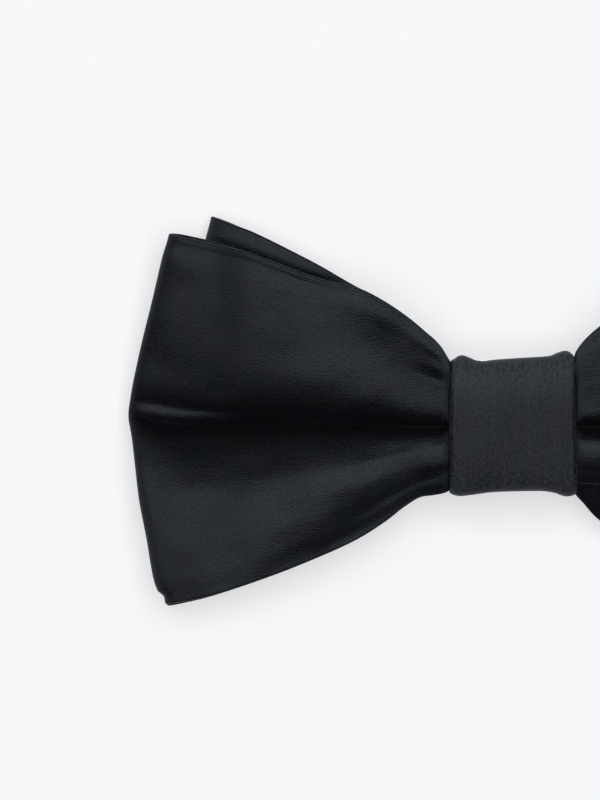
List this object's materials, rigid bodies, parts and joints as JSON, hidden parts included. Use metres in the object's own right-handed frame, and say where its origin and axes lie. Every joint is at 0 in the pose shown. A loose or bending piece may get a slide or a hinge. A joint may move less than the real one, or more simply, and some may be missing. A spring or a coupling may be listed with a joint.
{
  "type": "pre-tied bow tie",
  "caption": "Black satin pre-tied bow tie: two looped bows gathered at the waist, a knot band round them, and a sprung hinged clip held under the band.",
  "frame": {"origin": "on the surface the bow tie lies on, under the middle of the bow", "axes": "+X across the bow towards the wearer's left wing as seen from the front, +Y the wearer's up, +Z the front of the bow"},
  "size_m": [0.1202, 0.0656, 0.0186],
  "materials": {
    "satin": "black satin weave with a fine diagonal twill line, soft sheen",
    "interlining": "undyed napped cotton interlining",
    "thread": "black spun polyester sewing thread",
    "clip_metal": "nickel-plated stamped steel",
    "spring_wire": "drawn spring wire, nickel plated",
    "jaw_pad": "matt black rubber"
  },
  "bodies": {
    "bow": {"front_bow_satin": "satin", "front_bow_interlining": "interlining", "back_bow_satin": "satin", "back_bow_interlining": "interlining", "knot_band_satin": "satin", "knot_band_interlining": "interlining", "gather_thread": "thread", "front_bow_seam_thread": "thread", "back_bow_seam_thread": "thread", "knot_seam_thread": "thread", "clip_plate": "clip_metal", "clip_hinge_pin": "clip_metal", "clip_spring": "spring_wire"},
    "clip_lever": {"clip_lever": "clip_metal", "clip_jaw_pad": "jaw_pad"}
  },
  "joints": [
    {"name": "clip_jaw_hinge", "type": "hinge", "parent": "bow", "child": "clip_lever", "pos_m": [0, 0.001, 0.0027], "axis": [1, 0, 0], "range_deg": [0, 30], "stiffness_Nm_per_rad": 0.02, "springref_deg": -28.65, "deforming": ["clip_spring"]}
  ]
}
